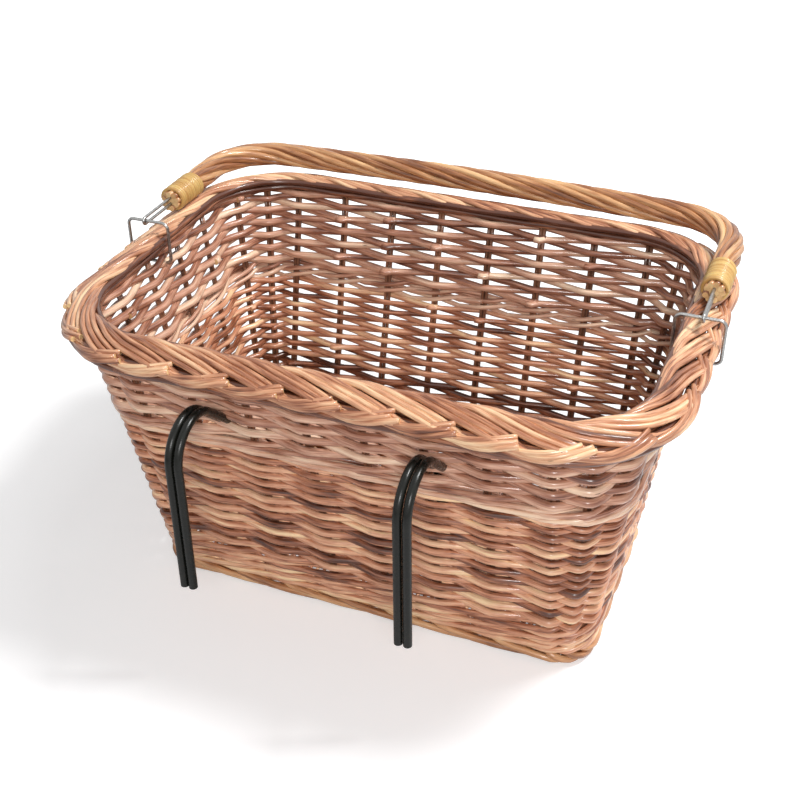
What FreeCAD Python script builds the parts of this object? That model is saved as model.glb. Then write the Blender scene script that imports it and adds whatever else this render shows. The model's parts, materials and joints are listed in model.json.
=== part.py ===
import FreeCAD, Part
import math
import os

# Rectangular willow basket with a plaited border, a roped swing handle and two hanging hooks.
# Millimetres, +Z up. The origin is the middle of the base where it stands on the floor,
# +X runs along the long side, and the hooks are on the -Y wall.

V = FreeCAD.Vector
UP = V(0, 0, 1)
os.makedirs("parts", exist_ok=True)

# Outer face of the wall: its rounded outline at the floor and at the height of the border
FOOT_LENGTH = 362.0
FOOT_WIDTH = 192.0
FOOT_CORNER_RADIUS = 32.0
MOUTH_LENGTH = 437.0
MOUTH_WIDTH = 304.0
MOUTH_CORNER_RADIUS = 75.0
MOUTH_HEIGHT = 249.0

# Base panel with its lengthwise sticks
BASE_THICKNESS = 9.0
STICK_DIAMETER = 7.0
STICK_COUNT = 7
STICK_SPACING = 24.0

# Woven wall: bands of weaving, one on top of the other. The randed siding swells over every
# pair of stakes and draws in between them, where its rods cross through the wall.
WEAVE_THICKNESS = 7.0
SIDING_DRAW_IN = 3.5
UPSET_HEIGHT = 31.0
LOWER_SIDING_HEIGHT = 124.0
WAIST_HEIGHT = 14.0
UPSET_BULGE = 1.5
WAIST_BULGE = 0.8
UPPER_BULGE = 0.9

# Upright stakes, in pairs, that the wall is woven on
STAKE_DIAMETER = 3.4
LONG_SIDE_PAIRS = 8
SHORT_SIDE_PAIRS = 4
CORNER_PAIRS = 2
STAKE_TOUCH = 0.1
STAKE_WALL_CLEARANCE = 0.3

# Plaited border: a flat, rounded band laid over the top of the wall and leaning outwards
BORDER_BAND_WIDTH = 34.0
BORDER_BAND_THICKNESS = 16.0
BORDER_TILT = 24.0
BORDER_OVERHANG = 2.5
BORDER_DROP = 3.5
BORDER_SEAT = 0.1

# Wire links round the border, whose top bars are the handle's hinge pins
LINK_WIRE_DIAMETER = 2.6
LINK_CORNER_RADIUS = 5.0
LINK_CLEARANCE = 0.3
LINK_HOLE_CLEARANCE = 0.05

# Handle: a thick bow rod, wrapped by twisted rods, with a wire eye in each end
ROPE_DIAMETER = 20.0
BOUND_ROPE_DIAMETER = 17.6
BOW_ROD_DIAMETER = 10.0
HANDLE_OVERREACH = 13.0
HANDLE_OUTSET = 2.0
HANDLE_CORNER_RADIUS = 52.0
CROSSBAR_BOW_ANGLE = 4.0
ROPE_START = 40.0
ROPE_TAPER_LENGTH = 6.0
HANDLE_LIFT = 0.4
EYE_WIRE_DIAMETER = 2.5
EYE_RUNNING_CLEARANCE = 0.08
EYE_DEPTH = 30.0
EYE_FIT = 0.02

# Cane wound round each end of the handle
CANE_DIAMETER = 2.2
CANE_SIDES = 6
CANE_TURNS = 12
CANE_PITCH = 2.8
CANE_START = 43.0
CANE_FIT = 0.05

# Coated steel hooks, each one rod bent double, through the wall on the -Y side
HOOK_STAKE_GAP = 1
HOOK_SHIFT = -6.0
HOOK_COATED_DIAMETER = 6.4
HOOK_STEEL_DIAMETER = 4.8
HOOK_ROD_GAP = 0.4
HOOK_REACH = 51.0
HOOK_BELOW_BORDER = 10.0
HOOK_HEIGHT = 131.0
HOOK_ARCH_RADIUS = 27.0
HOOK_RISE_ANGLE = 42.0
HOOK_INNER_BEND_RADIUS = 8.0
HOOK_INNER_LENGTH = 34.0
HOOK_CLEARANCE = 0.2

# Places worked out from the sizes above
stake_radius = STAKE_DIAMETER / 2
stake_line = WEAVE_THICKNESS + stake_radius + STAKE_WALL_CLEARANCE
half_pairs = LONG_SIDE_PAIRS + SHORT_SIDE_PAIRS + 2 * CORNER_PAIRS
upset_bottom = BASE_THICKNESS
lower_bottom = upset_bottom + UPSET_HEIGHT
waist_bottom = lower_bottom + LOWER_SIDING_HEIGHT
upper_bottom = waist_bottom + WAIST_HEIGHT
tilt = math.radians(BORDER_TILT)
band_half = BORDER_BAND_THICKNESS / 2
band_flat = BORDER_BAND_WIDTH / 2 - band_half
border_height = MOUTH_HEIGHT - BORDER_DROP
# How far the border's section reaches from its centre line, level and upright
border_across = band_flat * math.cos(tilt) + band_half
border_tall = band_flat * math.sin(tilt) + band_half
border_line_x = MOUTH_LENGTH / 2 + BORDER_OVERHANG
link_radius = LINK_WIRE_DIAMETER / 2
link_inner_x = border_line_x - border_across - LINK_CLEARANCE - link_radius
link_outer_x = border_line_x + border_across + LINK_CLEARANCE + link_radius
link_bottom = border_height - border_tall - LINK_CLEARANCE - 2 * link_radius
# The handle lies level along the border, its bound ends just clear of the border's sloping top
handle_x = border_line_x + HANDLE_OUTSET
bound_radius = BOUND_ROPE_DIAMETER / 2 + CANE_FIT + CANE_DIAMETER
rest_distance = band_half + HANDLE_LIFT + bound_radius
pivot_rise = (rest_distance - HANDLE_OUTSET * math.sin(tilt)) / math.cos(tilt)
pivot_height = border_height + pivot_rise
# The wall ends just under the border's sloping lower face
wall_drop = band_half / math.cos(tilt) - BORDER_OVERHANG * math.tan(tilt) + BORDER_SEAT
wall_top = border_height - wall_drop
handle_reach = MOUTH_WIDTH / 2 + BORDER_OVERHANG + HANDLE_OVERREACH
# The hooks hang below the border, outside the wall
hook_top = border_height - border_tall - HOOK_BELOW_BORDER - HOOK_COATED_DIAMETER / 2
hook_leg_y = MOUTH_WIDTH / 2 + HOOK_REACH
rod_spacing = HOOK_COATED_DIAMETER + HOOK_ROD_GAP
# The eye's two wires pass over and under the link's bar
eye_half = link_radius + EYE_RUNNING_CLEARANCE + EYE_WIRE_DIAMETER / 2


def export(shape, name):
    """Write one piece to its own file and print what was made."""
    shape.exportStep("parts/" + name + ".step")
    print(name, len(shape.Solids), "solids", round(shape.Volume), "mm3", shape.isValid())


def wall_size(z):
    """Length, width and corner radius of the wall's outer face at height z."""
    share = z / MOUTH_HEIGHT
    length = FOOT_LENGTH + (MOUTH_LENGTH - FOOT_LENGTH) * share
    width = FOOT_WIDTH + (MOUTH_WIDTH - FOOT_WIDTH) * share
    radius = FOOT_CORNER_RADIUS + (MOUTH_CORNER_RADIUS - FOOT_CORNER_RADIUS) * share
    return length, width, radius


def rounded_rectangle(length, width, radius, z):
    """Closed outline of four straight sides and four quarter arcs."""
    x = length / 2 - radius
    y = width / 2 - radius
    edges = []
    for cx, cy, start in ((x, y, 0), (-x, y, 90), (-x, -y, 180), (x, -y, 270)):
        centre = V(cx, cy, z)
        arc = Part.Arc(*[centre + turned(radius, start + step) for step in (0, 45, 90)])
        edges.append(arc.toShape())
        end = centre + turned(radius, start + 90)
        across = V(-2 * cx, 0, 0) if start in (0, 180) else V(0, -2 * cy, 0)
        edges.append(Part.LineSegment(end, end + across).toShape())
    return Part.Wire(edges)


def turned(length, degrees):
    """A level vector of a given length and direction."""
    angle = math.radians(degrees)
    return V(length * math.cos(angle), length * math.sin(angle), 0)


def outline(z, offset):
    """The wall's outline at height z, moved outwards by offset."""
    length, width, radius = wall_size(z)
    return rounded_rectangle(length + 2 * offset, width + 2 * offset, radius + offset, z)


def wall_spot(place, z, offset):
    """Point beside the wall's outer face; place counts stake pairs from the front left."""
    length, width, radius = wall_size(z)
    x = length / 2 - radius
    y = width / 2 - radius
    bend = radius * math.pi / 2
    bend_shares = [(k + 1) / (CORNER_PAIRS + 1) for k in range(CORNER_PAIRS)]
    side_start = 2 * x + bend
    back_start = side_start + 2 * y
    stops = [2 * x * k / (LONG_SIDE_PAIRS - 1) for k in range(LONG_SIDE_PAIRS)]
    stops += [2 * x + bend * share for share in bend_shares]
    stops += [side_start + y * (2 * k + 1) / SHORT_SIDE_PAIRS for k in range(SHORT_SIDE_PAIRS)]
    stops += [back_start + bend * share for share in bend_shares] + [back_start + bend]
    half, place = divmod(place % (2 * half_pairs), half_pairs)
    stake = int(place)
    run = stops[stake] + (stops[stake + 1] - stops[stake]) * (place - stake)
    if run < 2 * x:
        spot = V(run - x, -y - radius - offset, 0)
    elif run < side_start:
        spot = V(x, -y, 0) + turned(radius + offset, math.degrees((run - side_start) / radius))
    elif run < back_start:
        spot = V(x + radius + offset, run - side_start - y, 0)
    else:
        spot = V(x, y, 0) + turned(radius + offset, math.degrees((run - back_start) / radius))
    return spot * (-1 if half else 1) + UP * z


def swelling_outline(z, offset):
    """The siding's outline at height z: one arc over every pair of stakes."""
    draw = offset - SIDING_DRAW_IN
    edges = []
    for pair in range(2 * half_pairs):
        valleys = [wall_spot(pair + step, z, draw) for step in (-0.5, 0.5)]
        edges.append(arc(valleys[0], wall_spot(pair, z, offset), valleys[1]))
    return Part.Wire(edges)


def block(bottom, top, offset):
    """Solid between two heights, bounded by the sloping wall outline."""
    return Part.makeLoft([outline(bottom, offset), outline(top, offset)], True, True)


def band(bottom, top, outer, inner):
    """Ring of the wall between two heights."""
    over = 1.0
    return block(bottom, top, outer).cut(block(bottom - over, top + over, inner))


def siding(bottom, top, outer, inner):
    """Ring of randed weaving, its outer face swelling over the stakes."""
    over = 1.0
    wires = [swelling_outline(z, outer) for z in (bottom, top)]
    whole = Part.makeLoft(wires, True, True)
    return whole.cut(block(bottom - over, top + over, inner))


def disc(edge, radius, bore=0):
    """Round face square to the start of an edge, with a hole in it for a tube."""
    start = edge.valueAt(edge.FirstParameter)
    heading = edge.tangentAt(edge.FirstParameter)
    face = Part.Face(Part.Wire(Part.makeCircle(radius, start, heading)))
    if bore:
        face = face.cut(Part.Face(Part.Wire(Part.makeCircle(bore, start, heading))))
    return face


def sweep(edges, radius, bore=0):
    """Round rod or tube along tangent lines and arcs, each drawn or turned from its start."""
    pieces = []
    for edge in edges:
        section = disc(edge, radius, bore)
        if isinstance(edge.Curve, Part.Line):
            start = edge.valueAt(edge.FirstParameter)
            pieces.append(section.extrude(edge.valueAt(edge.LastParameter) - start))
        else:
            turn = math.degrees(edge.LastParameter - edge.FirstParameter)
            pieces.append(section.revolve(edge.Curve.Center, edge.Curve.Axis, turn))
    return pieces[0].fuse(pieces[1:]).removeSplitter()


def line(a, b):
    return Part.LineSegment(a, b).toShape()


def arc(a, b, c):
    return Part.Arc(a, b, c).toShape()


def base():
    """Woven base panel, threaded by its sticks."""
    panel = block(0, BASE_THICKNESS, -stake_line)
    sticks = []
    for index in range(STICK_COUNT):
        y = (index - (STICK_COUNT - 1) / 2) * STICK_SPACING
        start = V(-FOOT_LENGTH, y, BASE_THICKNESS / 2)
        rod = Part.makeCylinder(STICK_DIAMETER / 2, 2 * FOOT_LENGTH, start, V(1, 0, 0))
        sticks.append(rod.common(panel))
    return panel.cut(Part.makeCompound(sticks)), Part.makeCompound(sticks)


def stakes(top):
    """Pairs of round stakes that lean with the wall."""
    rods = []
    nearby = 0.01
    for pair in range(2 * half_pairs):
        foot = wall_spot(pair, BASE_THICKNESS, -stake_line)
        head = wall_spot(pair, top, -stake_line)
        lean = (head - foot).normalize()
        behind, ahead = [wall_spot(pair + step, top, -stake_line) for step in (-nearby, nearby)]
        along = (ahead - behind).normalize()
        # The square-cut lower end stands clear of the base by its own slant
        rise = lean * (stake_radius * math.hypot(lean.x, lean.y) + STAKE_TOUCH)
        for side in (1, -1):
            step = along * side * (stake_radius + STAKE_TOUCH)
            start = foot + rise + step
            way = head + step - start
            rods.append(Part.makeCylinder(stake_radius, way.Length, start, way))
    return Part.makeCompound(rods)


def border_profile(centre, outward):
    """Face of the border's flat rounded section, square to the rim."""
    slope = outward * math.cos(tilt) - UP * math.sin(tilt)
    thick = outward * math.sin(tilt) + UP * math.cos(tilt)
    top_in = centre - slope * band_flat + thick * band_half
    top_out = centre + slope * band_flat + thick * band_half
    low_in = centre - slope * band_flat - thick * band_half
    low_out = centre + slope * band_flat - thick * band_half
    edges = [
        line(top_in, top_out),
        arc(top_out, centre + slope * (band_flat + band_half), low_out),
        line(low_out, low_in),
        arc(low_in, centre - slope * (band_flat + band_half), top_in),
    ]
    return Part.Face(Part.Wire(edges))


def border():
    """The border's section drawn along the four sides and turned round the corners."""
    x = MOUTH_LENGTH / 2 - MOUTH_CORNER_RADIUS
    y = MOUTH_WIDTH / 2 - MOUTH_CORNER_RADIUS
    out = MOUTH_CORNER_RADIUS + BORDER_OVERHANG
    pieces = []
    for quarter in range(4):
        centre = V(x if quarter in (0, 3) else -x, y if quarter < 2 else -y, border_height)
        outward = turned(1, 90 * quarter)
        profile = border_profile(centre + outward * out, outward)
        pieces.append(profile.revolve(centre, UP, 90))
        along = turned(2 * (x if quarter in (1, 3) else y), 90 * quarter - 90)
        pieces.append(profile.extrude(along))
    whole = pieces[0].fuse(pieces[1:])
    return whole.removeSplitter()


def link(side):
    """Wire ring round the border and through the wall under it."""
    corner = LINK_CORNER_RADIUS
    low = link_bottom
    high = pivot_height
    edges = []
    corners = (
        (link_outer_x, high, 0),
        (link_inner_x, high, 90),
        (link_inner_x, low, 180),
        (link_outer_x, low, 270),
    )
    start = V(side * link_outer_x, 0, (low + high) / 2)
    previous = start
    for x, z, angle in corners:
        inward_x = -1 if angle in (0, 270) else 1
        inward_z = -1 if angle in (0, 90) else 1
        centre = V(side * (x + inward_x * corner), 0, z + inward_z * corner)
        points = []
        for step in (0, 45, 90):
            turn = math.radians(angle + step)
            points.append(centre + V(side * corner * math.cos(turn), 0, corner * math.sin(turn)))
        edges.append(line(previous, points[0]))
        edges.append(arc(*points))
        previous = points[2]
    edges.append(line(previous, start))
    return sweep(edges, link_radius)


def link_hole(side):
    """Hole for the link's lower bar through the wall."""
    start = V(side * (link_inner_x + LINK_CORNER_RADIUS), 0, link_bottom)
    length = link_outer_x - link_inner_x - 2 * LINK_CORNER_RADIUS
    return Part.makeCylinder(link_radius + LINK_HOLE_CLEARANCE, length, start, V(side, 0, 0))


def handle_path():
    """Centre line of the handle's bow, lying flat towards +Y, from its right end to its left."""
    bend = math.radians(CROSSBAR_BOW_ANGLE)
    arc_x = handle_x - HANDLE_CORNER_RADIUS
    bar_x = arc_x + HANDLE_CORNER_RADIUS * math.sin(bend)
    bar_rise = bar_x * math.tan(bend / 2)
    arc_y = handle_reach - bar_rise - HANDLE_CORNER_RADIUS * math.cos(bend)
    z = pivot_height
    half = math.radians(90 - CROSSBAR_BOW_ANGLE) / 2
    leg_top = V(handle_x, arc_y, z)
    knee_dx = HANDLE_CORNER_RADIUS * math.cos(half)
    knee_dy = HANDLE_CORNER_RADIUS * math.sin(half)
    knee = V(arc_x + knee_dx, arc_y + knee_dy, z)
    bar_end = V(bar_x, handle_reach - bar_rise, z)
    crown = V(0, handle_reach, z)
    return leg_top, knee, bar_end, crown


def mirrored(point):
    return V(-point.x, point.y, point.z)


def handle_rod(start, radius, bore=0):
    """A round rod or tube along the handle, its straight legs beginning at start."""
    leg_top, knee, bar_end, crown = handle_path()
    foot = V(handle_x, start, pivot_height)
    edges = [
        line(foot, leg_top),
        arc(leg_top, knee, bar_end),
        arc(bar_end, crown, mirrored(bar_end)),
        arc(mirrored(bar_end), mirrored(knee), mirrored(leg_top)),
        line(mirrored(leg_top), mirrored(foot)),
    ]
    return sweep(edges, radius, bore)


def handle():
    """Twisted rods of the handle as one sleeve, the bow rod in it, and the eyes' sockets."""
    bound_end = CANE_START + CANE_TURNS * CANE_PITCH + CANE_DIAMETER
    full_start = bound_end + ROPE_TAPER_LENGTH
    bow_radius = BOW_ROD_DIAMETER / 2
    rope = handle_rod(full_start, ROPE_DIAMETER / 2, bow_radius)
    ends = []
    sockets = []
    for side in (1, -1):
        # Half section of the end, turned about the leg: bound length, then the taper
        profile = (
            (bow_radius, ROPE_START),
            (BOUND_ROPE_DIAMETER / 2, ROPE_START),
            (BOUND_ROPE_DIAMETER / 2, bound_end),
            (ROPE_DIAMETER / 2, full_start),
            (bow_radius, full_start),
        )
        x = side * handle_x
        corners = [V(x + out, y, pivot_height) for out, y in profile + profile[:1]]
        section = Part.Face(Part.makePolygon(corners))
        ends.append(section.revolve(V(x, 0, pivot_height), V(0, 1, 0), 360))
        for step in (1, -1):
            mouth = V(x, ROPE_START, pivot_height + step * eye_half)
            radius = EYE_WIRE_DIAMETER / 2 + EYE_FIT
            sockets.append(Part.makeCylinder(radius, EYE_DEPTH + EYE_FIT, mouth, V(0, 1, 0)))
    bow = handle_rod(ROPE_START, bow_radius).cut(Part.makeCompound(sockets))
    return rope.fuse(ends).removeSplitter(), bow


def eye(side):
    """Hairpin of wire whose bend turns on the link's top bar."""
    x = side * handle_x
    z = pivot_height
    end = ROPE_START + EYE_DEPTH
    edges = [
        line(V(x, end, z + eye_half), V(x, 0, z + eye_half)),
        arc(V(x, 0, z + eye_half), V(x, -eye_half, z), V(x, 0, z - eye_half)),
        line(V(x, 0, z - eye_half), V(x, end, z - eye_half)),
    ]
    return sweep(edges, EYE_WIRE_DIAMETER / 2)


def biarc(start, start_way, end, end_way):
    """Two tangent arcs that join two points with given directions."""
    chord = end - start
    both = start_way + end_way
    bend = 2 * (1 - start_way.dot(end_way))
    reach = (math.sqrt(chord.dot(both) ** 2 + bend * chord.dot(chord)) - chord.dot(both)) / bend
    first = start + start_way * reach
    second = end - end_way * reach
    middle = (first + second) * 0.5
    return [tangent_arc(start, first, middle), tangent_arc(middle, second, end)]


def tangent_arc(start, corner, end):
    """Arc from start to end whose tangents meet at corner."""
    half_chord = (end - start) * 0.5
    foot = start + half_chord
    rise = (corner - foot).Length
    leg = (corner - start).Length
    sagitta = half_chord.Length * rise / (leg + half_chord.Length)
    return arc(start, foot + (corner - foot) * (sagitta / rise), end)


def winding(side):
    """Cane wound round the handle's end in one unbroken length."""
    radius = (BOUND_ROPE_DIAMETER + CANE_DIAMETER) / 2 + CANE_FIT
    centre = V(side * handle_x, CANE_START, pivot_height)

    def place(half):
        angle = math.pi * half
        return centre + V(
            radius * math.cos(angle), CANE_PITCH * half / 2, radius * math.sin(angle)
        )

    def way(half):
        angle = math.pi * half
        rise = CANE_PITCH / (2 * math.pi)
        return V(-radius * math.sin(angle), rise, radius * math.cos(angle)).normalize()

    edges = []
    for half in range(2 * CANE_TURNS):
        edges += biarc(place(half), way(half), place(half + 1), way(half + 1))
    points = [point for edge in edges for point in edge.discretize(7)[:-1]]
    per_turn = len(points) // CANE_TURNS
    nearest = min(
        points[i].distanceToPoint(points[j])
        for i in range(len(points))
        for j in range(i + per_turn // 2, min(len(points), i + 2 * per_turn))
    )
    print("cane winding least gap", round(nearest - CANE_DIAMETER, 2), "mm")
    across = way(0).cross(V(1, 0, 0)).normalize()
    corners = []
    for index in range(CANE_SIDES + 1):
        angle = 2 * math.pi * (index % CANE_SIDES) / CANE_SIDES
        spoke = V(math.cos(angle), 0, 0) + across * math.sin(angle)
        corners.append(place(0) + spoke * (CANE_DIAMETER / 2))
    return Part.Wire(edges).makePipeShell([Part.makePolygon(corners)], True, False)


def hook_arch():
    """Middle of the hook's arch, and the point where its rising rod joins the arch."""
    rise = math.radians(HOOK_RISE_ANGLE)
    middle = V(0, HOOK_ARCH_RADIUS - hook_leg_y, hook_top - HOOK_ARCH_RADIUS)
    joint = middle + V(0, math.sin(rise), math.cos(rise)) * HOOK_ARCH_RADIUS
    return middle, joint


def hook_ways():
    """Direction of the rod that rises outwards, and of the leg that follows the wall down."""
    rise = math.radians(HOOK_RISE_ANGLE)
    lean = (MOUTH_WIDTH - FOOT_WIDTH) / 2 / MOUTH_HEIGHT
    return V(0, -math.cos(rise), math.sin(rise)), V(0, lean, -1).normalize()


def hook_corner():
    """Where the rising rod would meet the leg that lies along the inside of the wall."""
    joint = hook_arch()[1]
    outward, down = hook_ways()
    stand = (HOOK_COATED_DIAMETER / 2 + HOOK_CLEARANCE) / -down.z
    leg_y = WEAVE_THICKNESS + stand - wall_size(0)[1] / 2
    slope = -outward.z / outward.y
    lean = -down.y / down.z
    z = (joint.z - slope * (leg_y - joint.y)) / (1 - slope * lean)
    return V(0, leg_y - lean * z, z)


def hook(x, radius, bore=0):
    """One rod bent double: two hanging ends outside, its closed end flat on the inner wall."""
    middle, joint = hook_arch()
    outward, down = hook_ways()
    corner = hook_corner()
    half_turn = outward.getAngle(down * -1) / 2
    setback = HOOK_INNER_BEND_RADIUS * math.tan(half_turn)
    bend_rise = HOOK_INNER_BEND_RADIUS * (1 / math.cos(half_turn) - 1)
    bend = corner + (down + outward).normalize() * bend_rise
    arch_end = middle - V(0, HOOK_ARCH_RADIUS, 0)
    arch_way = (joint + arch_end - middle * 2).normalize()
    places = (
        V(0, -hook_leg_y, hook_top - HOOK_HEIGHT),
        arch_end,
        middle + arch_way * HOOK_ARCH_RADIUS,
        joint,
        corner + outward * setback,
        bend,
        corner + down * setback,
        corner + down * HOOK_INNER_LENGTH,
    )

    def rod(offset):
        a, b, c, d, e, f, g, h = [place + V(x + offset, 0, 0) for place in places]
        return [line(a, b), arc(b, c, d), line(d, e), arc(e, f, g), line(g, h)], h

    half = rod_spacing / 2
    first, low_first = rod(-half)
    second, low_second = rod(half)
    foot = (low_first + low_second) * 0.5 + down * half
    edges = first + [arc(low_first, foot, low_second)] + second[::-1]
    return sweep(edges, radius, bore)


def hook_hole(x):
    """Slanting slot for one hook's two rods through the wall."""
    outward = hook_ways()[0]
    across = V(1, 0, 0)
    tall = across.cross(outward)
    radius = HOOK_COATED_DIAMETER / 2 + HOOK_CLEARANCE
    centre = hook_corner() + V(x, 0, 0)
    left = centre - across * (rod_spacing / 2)
    right = centre + across * (rod_spacing / 2)
    edges = [
        line(left + tall * radius, right + tall * radius),
        arc(right + tall * radius, right + across * radius, right - tall * radius),
        line(right - tall * radius, left - tall * radius),
        arc(left - tall * radius, left - across * radius, left + tall * radius),
    ]
    depth = (hook_arch()[1] - hook_corner()).Length
    return Part.Face(Part.Wire(edges)).extrude(outward * depth)


def hook_place(side):
    """Middle of the hook along the wall: beside the middle of a gap between stake pairs."""
    length, width, radius = wall_size(hook_corner().z)
    gap = 1 - (2 * HOOK_STAKE_GAP + 1) / (LONG_SIDE_PAIRS - 1)
    return side * gap * (length / 2 - radius) + HOOK_SHIFT


sides = {"left": -1, "right": 1}
base_weave, base_sticks = base()
export(base_weave, "base_weave")
export(base_sticks, "base_sticks")
export(band(0, upset_bottom, 0, -stake_line), "foot_border")
export(band(upset_bottom, lower_bottom, UPSET_BULGE, -WEAVE_THICKNESS), "upset_wale")
weaving = (
    ("lower_siding", siding, lower_bottom, waist_bottom, 0),
    ("waist_wale", band, waist_bottom, upper_bottom, WAIST_BULGE),
    ("upper_siding", siding, upper_bottom, wall_top, UPPER_BULGE),
)
for name, weave, bottom, top, bulge in weaving:
    wall = weave(bottom, top, bulge, -WEAVE_THICKNESS)
    for side in sides.values():
        wall = wall.cut(hook_hole(hook_place(side))).cut(link_hole(side))
    export(wall, name)
export(stakes(wall_top), "side_stakes")
export(border(), "plaited_border")
rope, bow = handle()
export(rope, "handle_rope")
export(bow, "handle_bow")
for name, side in sides.items():
    export(link(side), "border_link_" + name)
    export(eye(side), "handle_eye_" + name)
    export(winding(side), "cane_binding_" + name)
    steel = HOOK_STEEL_DIAMETER / 2
    export(hook(hook_place(side), steel), "hook_steel_" + name)
    coating = hook(hook_place(side), HOOK_COATED_DIAMETER / 2, steel)
    export(coating, "hook_coating_" + name)
    print(name, "hook at", round(hook_place(side), 2))
print("pivot", round(pivot_height, 2), "handle x", round(handle_x, 2), "wall top", round(wall_top, 2))
print("hook top", round(hook_top, 2), "leg", round(hook_leg_y, 2), "corner", hook_corner())
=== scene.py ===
import json
import math
import random

import bmesh
import bpy
import numpy as np
from mathutils import Matrix, Vector

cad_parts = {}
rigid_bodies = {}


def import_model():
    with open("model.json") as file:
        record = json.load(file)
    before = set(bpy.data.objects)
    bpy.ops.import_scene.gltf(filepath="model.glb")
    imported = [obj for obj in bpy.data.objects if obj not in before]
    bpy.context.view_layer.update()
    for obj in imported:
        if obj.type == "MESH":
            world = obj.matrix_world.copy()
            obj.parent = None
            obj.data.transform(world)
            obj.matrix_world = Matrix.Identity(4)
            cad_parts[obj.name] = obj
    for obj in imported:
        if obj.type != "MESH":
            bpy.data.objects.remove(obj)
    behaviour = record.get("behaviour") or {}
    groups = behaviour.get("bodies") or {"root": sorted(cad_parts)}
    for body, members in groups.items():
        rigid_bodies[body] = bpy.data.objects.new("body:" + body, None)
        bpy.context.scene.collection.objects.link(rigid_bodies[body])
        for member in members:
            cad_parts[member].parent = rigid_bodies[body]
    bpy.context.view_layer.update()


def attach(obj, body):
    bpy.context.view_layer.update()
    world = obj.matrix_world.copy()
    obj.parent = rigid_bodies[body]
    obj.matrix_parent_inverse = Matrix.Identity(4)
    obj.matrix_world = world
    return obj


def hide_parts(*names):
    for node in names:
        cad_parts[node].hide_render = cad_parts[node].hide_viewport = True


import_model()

# The base: seven lengthwise sticks with thin willow woven across them, over one and under
# the next. Its edge follows the foot of the wall, a rectangle with rounded corners.
# Every woven piece is many rods, and each rod here is a row of points with its thickness.
STAKE_PAIRS = 32
HALF_ROUND = STAKE_PAIRS // 2
LONG_SIDE_PAIRS = 8
SHORT_SIDE_PAIRS = 4
BORDER_LEVEL = 0.249
FOOT_LENGTH = 0.362
FOOT_WIDTH = 0.192
FOOT_CORNER = 0.028
# The wall is longer, wider and rounder by this much at the border than at the foot
LENGTH_GAIN = 0.075
WIDTH_GAIN = 0.112
CORNER_GAIN = 0.034
# Each rod starts this much further on in the willow's pattern than the one before
GRAIN_SHIFT = 0.37
base_chance = random.Random(7)


def wall_outline(height, corner=None):
    """Half lengths of the wall's two straight sides and its corner radius at a height."""
    share = height / BORDER_LEVEL
    length = FOOT_LENGTH + LENGTH_GAIN * share
    width = FOOT_WIDTH + WIDTH_GAIN * share
    if corner is None:
        corner = FOOT_CORNER + CORNER_GAIN * share
    return length / 2 - corner, width / 2 - corner, corner


def beside_wall(place, height, outward, corner=None):
    """Point by the wall's outer face: place counts stake pairs round from the front left."""
    long_run, short_run, corner = wall_outline(height, corner)
    bend = corner * math.pi / 2
    side_start = 2 * long_run + bend
    stops = [2 * long_run * k / (LONG_SIDE_PAIRS - 1) for k in range(LONG_SIDE_PAIRS)]
    stops += [2 * long_run + bend / 3, 2 * long_run + bend * 2 / 3]
    for k in range(SHORT_SIDE_PAIRS):
        stops.append(side_start + 2 * short_run * (2 * k + 1) / (2 * SHORT_SIDE_PAIRS))
    back_start = side_start + 2 * short_run
    stops += [back_start + bend / 3, back_start + bend * 2 / 3, back_start + bend]
    half, place = divmod(place % STAKE_PAIRS, HALF_ROUND)
    stake = int(place)
    run = stops[stake] + (stops[stake + 1] - stops[stake]) * (place - stake)
    if run < 2 * long_run:
        spot, away = Vector((run - long_run, -short_run - corner, 0)), Vector((0, -1, 0))
    elif run < side_start:
        turn = (run - 2 * long_run) / corner - math.pi / 2
        away = Vector((math.cos(turn), math.sin(turn), 0))
        spot = Vector((long_run, -short_run, 0)) + away * corner
    elif run < back_start:
        spot = Vector((long_run + corner, run - side_start - short_run, 0))
        away = Vector((1, 0, 0))
    else:
        turn = (run - back_start) / corner
        away = Vector((math.cos(turn), math.sin(turn), 0))
        spot = Vector((long_run, short_run, 0)) + away * corner
    spot += away * outward
    if half:
        spot = -spot
    spot.z = height
    return spot


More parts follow.
